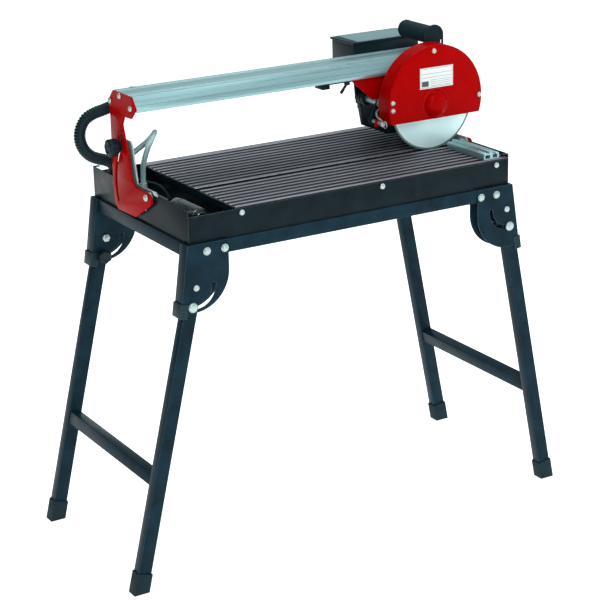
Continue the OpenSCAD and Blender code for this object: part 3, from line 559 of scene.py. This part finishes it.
def knob(name, at, axis, d, h, lobes, body, node):
    """A moulded hand knob: hub, scalloped grip with rounded edges and a recessed cap."""
    r = d / 2
    rings = [(r * 0.32, 0), (r * 0.58, 0), (r * 0.60, h * 0.16), (r * 0.66, h * 0.22),
             (r * 0.94, h * 0.30), (r, h * 0.38), (r, h * 0.78), (r * 0.95, h * 0.90),
             (r * 0.84, h * 0.97), (r * 0.70, h), (r * 0.60, h * 0.99), (r * 0.57, h * 0.93),
             (r * 0.30, h * 0.90), (r * 0.26, h * 0.96), (0, h * 0.97)]
    def shape(i, a, rr):
        if 4 <= i <= 8:
            wave = 0.5 - 0.5 * math.cos(a * lobes)
            return rr * (0.86 + 0.14 * wave ** 0.6)
        return rr
    bm = bmesh.new()
    lathe(bm, at, axis, rings, 16 * lobes if lobes < 8 else 96, shape)
    return piece(name, bm, "black_plastic", body, node, angle=50)


sy = TILT_Y + CLAMP_R * math.cos(CLAMP_ANGLE)
sz = TILT_Z + CLAMP_R * math.sin(CLAMP_ANGLE)
for s, word in ((-1, "left"), (1, "right")):
    knob(f"{word}_clamp_knob", P(s * ARM_X, sy, sz), (s, 0, 0), 36, 28, 7, f"tilt_clamp_{word}",
         f"{word}_tilt_knob")
for side, word in ((-1, "left"), (1, "right")):
    for s, w2 in ((-1, "front"), (1, "back")):
        knob(f"{w2}_{word}_hand_knob", leg_point(side, s * 183.7, LOCK_DROP), (0, -s, 0), 29, 18, 6,
             f"lock_knob_{w2}_{word}", f"{w2}_{word}_knob")

# tilt pivots, studs and their fixings
bm = bmesh.new()
for s in (-1, 1):
    out = (s, 0, 0)
    at = P(s * ARM_X, TILT_Y, TILT_Z)
    bolt(bm, at, out, 14, 5)
    lathe(bm, at, (-s, 0, 0), [(5, -1), (5, 22), (4.2, 23)], 24)
    lathe(bm, P(s * 371.7, TILT_Y, TILT_Z), (-s, 0, 0), [(10, 0), (10, 3.7)], 32)
    lathe(bm, P(s * BRACKET_X, TILT_Y, TILT_Z), (-s, 0, 0),
          [(8.5, 0), (9.5, 0.6), (9.5, 7.2), (8.5, 8)], 24, hexed((1, 2), 17))
    lathe(bm, P(s * BRACKET_X, sy, sz), out, [(4, -1), (4, 32), (3.4, 32.6)], 20)
    x0, x1 = sorted((s * BRACKET_X, s * (BRACKET_X - 5)))
    box(bm, P(x0, sy - 6.5, sz - 6.5), P(x1, sy + 6.5, sz + 6.5), 0.8)
    for y, z in ((50, 705), (-30, 712)):
        bolt(bm, P(s * 368, y, z), out, 11, 2.9)
        lathe(bm, P(s * 368, y, z), (-s, 0, 0), [(3, -0.5), (3, 10.5)], 16)
        lathe(bm, P(s * BRACKET_X, y, z), (-s, 0, 0), [(5, 0), (5.7, 0.5), (5.7, 4.5), (5, 5)], 24,
              hexed((1, 2), 10))
piece("tilt_fixings", bm, "zinc_steel", "base", "tilt_bolts")
bm = bmesh.new()
for s in (-1, 1):
    for y, z in ((-3, 903.5), (43, 920), (88, 903.5)):
        bolt(bm, P(s * 376, y, z), (s, 0, 0), 11.6, 4)
        lathe(bm, P(s * 376, y, z), (-s, 0, 0), [(2.5, -0.5), (2.5, 30)], 14)
piece("beam_end_bolts", bm, "zinc_steel", "tilting_beam", "beam_bolts")

# ------------------------------------------------------------ water side
bm = bmesh.new()
lathe(bm, P(-302, -140, 704), (0, 1, 0), [
    (6, 0), (13, 0.3), (15, 2), (15, 8), (18, 8.6), (20, 10), (20.5, 12), (20.5, 84),
    (19.8, 84.6), (19.8, 86.4), (20.5, 87), (20.5, 103), (19, 108), (14, 110), (7, 110.4)], 64)
path, _ = smooth_path([(-302, -31, 704), (-302, 0, 704), (-302, 30, 704), (-303, 48, 704.5),
                       (-309, 53, 705), (-320, 54, 705), (-327, 54, 708), (-329.5, 54, 715),
                       (-330, 54, 726.5)], 4)
sweep(bm, [P(*p) for p in path], 6.8, 16, up=(0, 0, 1))
for y in (-120, -60):
    box(bm, P(-316, y, 683), P(-288, y + 10, 688), 1)
piece("pump", bm, "pump_black", "base", "water_pump")

hose_points = [(-330, 54, 727), (-330, 54, 742), (-331, 51, 757), (-333, 45, 771),
               (-335, 36, 785), (-337, 25, 798), (-339, 13, 811), (-341, 1, 823),
               (-341, -9, 834), (-338, -13, 844), (-331, -8, 850), (-323, 5, 849),
               (-318, 20, 842), (-317, 36, 832), (-318, 52, 820), (-321, 68, 809),
               (-325, 84, 798), (-330, 98, 787), (-334, 108, 775), (-336, 114, 764),
               (-337, 116, 754), (-337, 116, 744)]
line, hose_len = smooth_path(hose_points, 4)
path = [P(*p) for p in line]
bm = bmesh.new()
sweep(bm, path, 5.5, 20, up=(1, 0, 0))
hose = piece("clear_hose", bm, "clear_hose", "base", "pump_hose", angle=60)
bm = bmesh.new()
for x, y, z in ((-330, 54, 727), (-337, 116, 746)):
    lathe(bm, P(x, y, z), (0, 0, 1), [(5.7, 2), (7.2, 2), (7.4, 3), (7.4, 9), (7.2, 10), (5.7, 10)], 24,
          ring=True)
piece("hose_clamps", bm, "zinc_steel", "base", None)

conduit_points = [(-318, 112, 906), (-319, 119, 904), (-325, 126, 898), (-337, 129, 889),
                  (-355, 130, 881), (-374, 130, 876), (-393, 130, 872), (-410, 130, 864),
                  (-421, 130, 850), (-426, 130, 834), (-425, 130, 817), (-417, 131, 800),
                  (-404, 132, 787), (-388, 134, 779), (-372, 137, 773), (-359, 139, 766),
                  (-352, 140, 757), (-350, 140, 750), (-350, 140, 744)]
line, conduit_len = smooth_path(conduit_points[::-1], 1.05)
path = [P(*p) for p in line]
bm = bmesh.new()
sweep(bm, path, lambda i: 12.0 if i % 5 in (0, 1, 2) else 10.4, 20)
conduit = piece("corrugated_conduit", bm, "black_plastic", None, "conduit", angle=180)
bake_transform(conduit)

bm = bmesh.new()
box(bm, P(-366.5, 100, 732), P(-326, 156, 744), 1.5)
for x, y, r, h in ((-350, 140, 16, 6), (-337, 116, 8, 8)):
    inner = r - 1.5 if r > 10 else 6.2
    lathe(bm, P(x, y, 744), (0, 0, 1), [(inner, -0.5), (r, -0.5), (r, h * 0.5), (r * 0.93, h * 0.55),
          (r * 0.93, h * 0.95), (r * 0.86, h), (inner, h)], 36, hexed((1, 2), r * 1.9), ring=True)
lathe(bm, P(-300, 205.5, 712), (0, 1, 0), [(6, 0), (7.9, 0), (7.9, 1.5), (12, 1.5), (12, 6.5),
      (10.5, 7.5), (10.5, 11), (8, 11.5), (6, 11.5)], 36, hexed((3, 4), 22), ring=True)
piece("tray_glands", bm, "black_plastic", "base", "cable_glands")
bm = bmesh.new()
box(bm, P(-332, 96, 893), P(-304, 104, 919), 1.2)
lathe(bm, P(-318, 104, 906), (0, 1, 0), [(12.1, -0.3), (14, -0.3), (14, 3), (13.4, 3.6), (13.4, 7.4),
      (12.8, 8), (12.1, 8)], 36, hexed((1, 2), 27), ring=True)
piece("beam_conduit_gland", bm, "black_plastic", "tilting_beam", "beam_gland")
bm = bmesh.new()
lathe(bm, P(-322, -165, 672.5), (0, 0, 1), [(8.6, 0), (9.8, 1.5), (10, 10.4), (15, 10.6), (15, 12.6),
      (14, 14.4), (6, 14.6), (0, 14.6)], 32)
ring = [P(-322, -165 + 6.5 * math.cos(a), 690.4 + 5.0 * math.sin(a))
        for a in [2 * math.pi * k / 28 for k in range(28)]]
loop_tube(bm, ring, 1.3, 10)
piece("rubber_plug", bm, "black_rubber", "drain_stopper", "drain_plug")
# a thin pump lead, clipped along the end of the tray bay
lead_points = [(-302, -2, 712), (-303, 8, 722), (-304, 20, 729), (-305, 36, 732), (-304, 54, 731),
               (-301, 72, 728), (-297, 92, 724), (-294, 112, 721), (-292, 132, 718),
               (-292, 152, 716), (-294, 172, 714), (-298, 190, 712.5), (-300, 204, 712)]
line, lead_len = smooth_path(lead_points, 4)
path = [P(*p) for p in line]
bm = bmesh.new()
sweep(bm, path, 3.0, 12, up=(1, 0, 0))
lead = piece("pump_lead", bm, "black_rubber", "base", None)

# ---------------------------------------------------------- blade guard

def guard_arc(r, count=96):
    """Points of the guard's edge at radius r, from one end of its straight side to the other."""
    a0 = math.asin(max(-1, (GLOW - GZ) / r))
    return [(GX + r * math.cos(a0 + (math.pi - 2 * a0) * k / count),
             GZ + r * math.sin(a0 + (math.pi - 2 * a0) * k / count)) for k in range(count + 1)]


def guard_shell(bm, rings):
    """Skins (r, y) rings of the guard's outline; the straight side stays open."""
    rows = [[bm.verts.new(P(x, y, z)) for x, z in guard_arc(r)] for r, y in rings]
    for a, b in zip(rows, rows[1:]):
        for k in range(len(a) - 1):
            bm.faces.new((a[k], a[k + 1], b[k + 1], b[k]))
    return rows


bm = bmesh.new()
front, t = GUARD_FRONT, 1.5  # t is the sheet thickness
fillet = [(GR - 4.0 + 4.0 * math.sin(u), front + 4.0 - 4.0 * math.cos(u))
          for u in [math.pi / 2 * k / 5 for k in range(6)]]
inner = [(GR - t - 2.5 + 2.5 * math.sin(u), front + t + 2.5 - 2.5 * math.cos(u))
         for u in [math.pi / 2 * k / 4 for k in range(4, -1, -1)]]
outer_rows = guard_shell(bm, fillet + [(GR, GUARD_REAR)])
inner_rows = guard_shell(bm, [(GR - t, GUARD_REAR)] + inner)
bm.faces.new(outer_rows[0])                       # front face
bm.faces.new(inner_rows[-1][::-1])                # inside of the front face
for k in range(len(outer_rows[-1]) - 1):          # rear lip
    bm.faces.new((outer_rows[-1][k], outer_rows[-1][k + 1], inner_rows[0][k + 1], inner_rows[0][k]))
rows = outer_rows + inner_rows                    # the two ends of the band and the lower edge
for e in (0, -1):
    bm.faces.new([r[e] for r in rows])
bm.faces.new((outer_rows[0][0], outer_rows[0][-1], inner_rows[-1][-1], inner_rows[-1][0]))
bmesh.ops.remove_doubles(bm, verts=bm.verts, dist=1e-7)
piece("guard_shell", bm, "saw_red", "cutting_head", "guard_cover", angle=30)

bm = bmesh.new()
dome = [(31.5, 0.05), (30.2, 0.25), (29.0, 1.0), (28.0, 2.3), (26.6, 4.6), (24.3, 7.6),
        (21.2, 10.4), (17.3, 12.8), (12.6, 14.6), (7, 15.7), (0, 16.1)]
lathe(bm, P(280, front, 837), (0, -1, 0), [(r, h + 0.02) for r, h in dome], 64)
piece("guard_dome", bm, "saw_red", "cutting_head", None)
# rolled hem along the guard's lower edge and a raised seam where cover meets back plate
bm = bmesh.new()
xs = math.sqrt(GR ** 2 - (GLOW - GZ) ** 2) - 3
hem = [P(GX - xs + 2 * xs * k / 24, front + 0.9, GLOW + 0.9) for k in range(25)]
sweep(bm, hem, 1.0, 10, up=(0, 0, 1))
arc = guard_arc(GR - 0.4, 120)
sweep(bm, [P(x, -37.6, z) for x, z in arc], 0.9, 10, up=(0, 1, 0))
piece("guard_hem", bm, "saw_red", "cutting_head", None)

bm = bmesh.new()
for x, z in ((275, 946.5), (388.5, 842), (174, 851.5), (174, 835.5)):
    bolt(bm, P(x, front, z), (0, -1, 0), 11, 4.3, nut_at=38.5, shank=5)
piece("guard_bolt_set", bm, "zinc_steel", "cutting_head", "guard_bolts")
bm = bmesh.new()
box(bm, P(241, front - 0.5, 870.5), P(322.5, front + 0.05, 913.5), 0.15, 1)
piece("blank_label", bm, "label_silver", "cutting_head", "label_plate")
bm = bmesh.new()
border = [(243, 872.5, 320.5, 873.1), (243, 910.9, 320.5, 911.5), (243, 872.5, 243.6, 911.5),
          (319.9, 872.5, 320.5, 911.5)]
ruling = [(245.5, 900.6, 318, 901.2), (245.5, 875, 262, 886)]
ruling += [(266, z, 317.5, z + 0.6) for z in (875.2, 879.2, 883.2, 887.2)]
for x0, z0, x1, z1 in border + ruling + [(245.5, 893, 317.5, 893.6)]:
    box(bm, P(x0, front - 0.58, z0), P(x1, front - 0.4, z1))
piece("label_ruling", bm, "dark_ink", "cutting_head", None, smooth=False)

# ------------------------------------------------------- blade and arbor
bm = bmesh.new()
lathe(bm, P(BLADE_X, BLADE_Y, BLADE_Z), (0, 1, 0), [
    (12.7, -1), (95.8, -1), (96.2, -1.25),
    (99.5, -1.25), (100, -0.9), (100, 0.9), (99.5, 1.25), (96.2, 1.25), (95.8, 1), (12.7, 1)],
    160, ring=True)
disc = piece("cutting_disc", bm, "blade_steel", "blade_spindle", "blade", angle=10)
disc.data.materials.append(M["rim_grit"])
hub = P(BLADE_X, BLADE_Y, BLADE_Z)
for f in disc.data.polygons:
    d = f.center - hub
    if math.hypot(d.x, d.z) > 95.9 * MM:
        f.material_index = 1
bm = bmesh.new()
for h0, h1 in ((-5.5, -1.05), (1.05, 7.0)):
    lathe(bm, hub, (0, 1, 0), [(8, h0), (23, h0), (25, h0 + 0.8), (25, h1 - 0.8), (24.4, h1), (8, h1)],
          64, ring=True)
lathe(bm, hub, (0, 1, 0), [(8, -13.5), (12.4, -13.5), (13.5, -12.6), (13.5, -6.2), (12.4, -5.5),
      (8, -5.5)], 36, hexed((2, 3), 24), ring=True)
piece("flanges_and_nut", bm, "zinc_steel", "blade_spindle", "blade_flanges")

# ------------------------------------------------------ motor and housing
soften("head_housing", 1.6, 3, 5)
soften("motor_box", 2.2, 3, 5)
soften("box_lid", 1.6, 3, 5, mat="black_plastic")
bm = bmesh.new()
box(bm, P(204, 102, 945.6), P(352, 185.5, 947.2), 1.4, 3)
lathe(bm, P(276, 143, 946.9), (0, 0, 1), [(4.6, 0), (4.4, 0.8), (3.2, 0.9), (2.4, 0.4), (0, 0.35)], 28)
piece("lid_plate", bm, "pale_lid", "cutting_head", None)
soften("switch_rocker", 0.8, 3, 3)
bm = bmesh.new()
lathe(bm, P(BLADE_X, 112, BLADE_Z), (0, 1, 0), [
    (30, 0), (47, 0), (50, 0.6), (50, 34), (48.5, 35), (48.5, 36.5), (49.6, 37), (49.6, 42.5),
    (48, 45), (44, 46), (43, 45.6), (42.5, 43), (15.5, 43), (15, 45.6), (14, 46), (9, 46), (8.7, 45),
    (8.7, 43), (30, 40.2)], 120,
    lambda i, a, r: r - (3.0 if 2 <= i <= 3 and math.cos(a * 30) < 0 else 0), ring=True)
for k in range(20):
    a = 2 * math.pi * k / 20
    u = Vector((math.cos(a), 0, math.sin(a)))
    w = Vector((-math.sin(a), 0, math.cos(a)))
    at = P(BLADE_X, 155.1, BLADE_Z)
    vs = [bm.verts.new(at + u * r * MM + w * s * MM + Vector((0, y * MM, 0)))
          for r in (15, 43) for s in (-1.1, 1.1) for y in (0, 2.4)]
    for q in ((0, 1, 3, 2), (4, 6, 7, 5), (0, 4, 5, 1), (2, 3, 7, 6), (1, 5, 7, 3), (0, 2, 6, 4)):
        bm.faces.new([vs[i] for i in q])
for r in (24, 34):
    lathe(bm, P(BLADE_X, 155.3, BLADE_Z), (0, 1, 0),
          [(r - 1, 0), (r + 1, 0), (r + 1, 2.3), (r - 1, 2.3)], 64, ring=True)
piece("finned_motor", bm, "head_black", "cutting_head", "motor_stator", angle=30)
# cast ribs on the housing's left side, and flange screws
bm = bmesh.new()
for y in (26, 48, 70, 90):
    box(bm, P(202.2, y - 1.5, 826), P(204.0, y + 1.5, 876), 0.5)
for x in (225, 255, 313, 340):
    box(bm, P(x - 1.5, 3.6, 772), P(x + 1.5, 5.4, 800), 0.5)
piece("housing_ribs", bm, "head_black", "cutting_head", None)
bm = bmesh.new()
for x, z in ((213, 876), (346, 876), (213, 806), (346, 806)):
    bolt(bm, P(x, 112, z), (0, 1, 0), 8.5, 4.6, washer=11)
piece("motor_screws", bm, "zinc_steel", "cutting_head", None)

# ------------------------------------------------------------- handle
bm = bmesh.new()
rings = [(9.2, 0.0), (16.5, 0.0), (18.6, 1.0), (19, 2.5), (19, 6.5), (18.4, 8)]
h = 10.0
while h < 93:
    rings += [(17.9, h), (18.4, h + 0.9), (18.4, h + 2.6), (17.9, h + 3.5)]
    h += 4.6
rings += [(18.2, 97), (18.8, 99), (18.8, 103.5), (17.6, 106.6), (14.5, 108), (6, 108.3), (0, 108.3)]
lathe(bm, P(GRIP_X, -33.3, GRIP_Z), (0, 1, 0), rings, 40)
piece("ribbed_grip", bm, "black_rubber", "cutting_head", "handle_grip", angle=50)

# --------------------------------------------- travel lock, pin and chain
bm = bmesh.new()
lathe(bm, P(LEVER_X, 2, 884), (0, 0, 1), [
    (4.6, 0), (6, 0.9), (6, 7), (5.4, 7.7), (3, 7.7), (3, 13.6), (0, 13.7)], 28)
path, _ = smooth_path([(LEVER_X, 2, 888), (109.5, 2, 882), (104, 2, 875), (98.5, 2, 868.5)], 1.6)
n = len(path)
sweep(bm, [P(*p) for p in path],
      lambda i: 2.7 + (0.5 if i > n * 0.55 else 0) - (1.2 if i == n - 1 else 0), 14)
piece("lock_lever", bm, "black_plastic", "travel_lock", "travel_lock_lever")

pin = soften("plunge_pin", 0.5)
pin.data.materials.append(M["head_black"])
for f in pin.data.polygons:
    off = f.center - P(LIFT_X, 0, LIFT_Z)
    if -15.2 * MM < f.center.y < -11.8 * MM and math.hypot(off.x, off.z) > 8.3 * MM:
        f.material_index = 1
bm = bmesh.new()
lathe(bm, P(LATCH_X, -17, LATCH_Z), (0, -1, 0), [
    (2.6, 0), (4, 1.6), (4, 34), (5.4, 34.4), (6, 35.4), (6, 38), (5.2, 39), (0, 39)], 28)
ring = [P(LATCH_X, -62 + 7 * math.cos(a), LATCH_Z + 7 * math.sin(a)) for a in
        [2 * math.pi * k / 40 for k in range(40)]]
loop_tube(bm, ring, 1.0, 10)
piece("head_pin", bm, "zinc_steel", "head_lock_pin", "lock_pin")

bm = bmesh.new()
ring = [P(LIFT_X + 10.6 * math.cos(a), -18, LIFT_Z + 10.6 * math.sin(a)) for a in
        [2 * math.pi * k / 44 for k in range(44)]]
loop_tube(bm, ring, 0.8, 8)
line, _ = smooth_path([(178, -21, 831), (167, -26, 826), (160, -36, 822), (156.5, -48, 819),
                       (157, -57, 816.5)], 3.6)
for i, p in enumerate(line):
    t = (line[min(i + 1, len(line) - 1)] - line[max(i - 1, 0)]).normalized()
    ax, u, v = frame_of(t)
    side = (u if i % 2 else v)
    pts = []
    for k in range(20):
        a = 2 * math.pi * k / 20
        pts.append(P(*(p + ax * (3.1 * math.cos(a)) + side * (1.75 * math.sin(a)))))
    loop_tube(bm, pts, 0.5, 7)
piece("keeper_chain", bm, "zinc_steel", "cutting_head", "pin_chain")


# ---------------------------------------------------- floor, light, world
def white_for_camera(world):
    """The backdrop shows white, but lights the saw softly and less from its left."""
    nt = world.node_tree
    soft = nt.nodes.new("ShaderNodeBackground")
    soft.inputs[0].default_value = (0.80, 0.96, 1, 1)
    side = nt.nodes.new("ShaderNodeTexCoord")
    split = nt.nodes.new("ShaderNodeSeparateXYZ")
    fade = nt.nodes.new("ShaderNodeMapRange")
    fade.inputs["From Min"].default_value = -0.95
    fade.inputs["From Max"].default_value = 0.1
    fade.inputs["To Min"].default_value = 0.05
    fade.inputs["To Max"].default_value = 0.56
    nt.links.new(side.outputs["Generated"], split.inputs[0])
    nt.links.new(split.outputs["X"], fade.inputs[0])
    nt.links.new(fade.outputs[0], soft.inputs[1])
    path = nt.nodes.new("ShaderNodeLightPath")
    mix = nt.nodes.new("ShaderNodeMixShader")
    nt.links.new(path.outputs["Is Camera Ray"], mix.inputs[0])
    nt.links.new(soft.outputs[0], mix.inputs[1])
    nt.links.new(nt.nodes["Background"].outputs[0], mix.inputs[2])
    nt.links.new(mix.outputs[0], nt.nodes["World Output"].inputs[0])


def studio():
    floor = bmesh.new()
    bmesh.ops.create_grid(floor, x_segments=1, y_segments=1, size=14)
    mesh = bpy.data.meshes.new("floor")
    floor.to_mesh(mesh)
    floor.free()
    obj = bpy.data.objects.new("floor", mesh)
    obj.location.z = -0.0005
    bpy.context.scene.collection.objects.link(obj)
    m = bpy.data.materials.new("floor_white")
    m.use_nodes = True
    m.node_tree.nodes["Principled BSDF"].inputs["Base Color"].default_value = (0.92, 0.92, 0.92, 1)
    m.node_tree.nodes["Principled BSDF"].inputs["Roughness"].default_value = 0.9
    m.node_tree.nodes["Principled BSDF"].inputs["Specular IOR Level"].default_value = 0.1
    m.node_tree.nodes["Principled BSDF"].inputs["Emission Color"].default_value = (1, 1, 1, 1)
    m.node_tree.nodes["Principled BSDF"].inputs["Emission Strength"].default_value = 0.8
    mesh.materials.append(m)
    world = bpy.data.worlds.new("studio")
    world.use_nodes = True
    world.node_tree.nodes["Background"].inputs[0].default_value = (1, 1, 1, 1)
    world.node_tree.nodes["Background"].inputs[1].default_value = 0.95
    white_for_camera(world)
    bpy.context.scene.world = world
    for name, at, size, power, look in (
            ("key", (-0.9, -2.6, 3.0), 1.4, 46, (0, 0, 0.7)),
            ("side", (-1.4, -3.6, 1.2), 1.2, 22, (-0.3, 0, 0.7)),
            ("top", (0.6, 0.6, 3.4), 2.2, 50, (0, 0, 0.7)),
            ("fill", (2.6, -2.0, 1.4), 1.8, 12, (0, 0, 0.6))):
        light = bpy.data.lights.new(name, "AREA")
        light.shape = "SQUARE"
        light.size = size
        light.energy = power
        light.color = (0.92, 1, 1)
        obj = bpy.data.objects.new(name, light)
        obj.location = at
        obj.rotation_euler = (Vector(look) - Vector(at)).to_track_quat("-Z", "Y").to_euler()
        bpy.context.scene.collection.objects.link(obj)
    view = bpy.context.scene.view_settings
    view.view_transform = "Standard"
    view.look = "None"
    view.exposure = 0.0


studio()
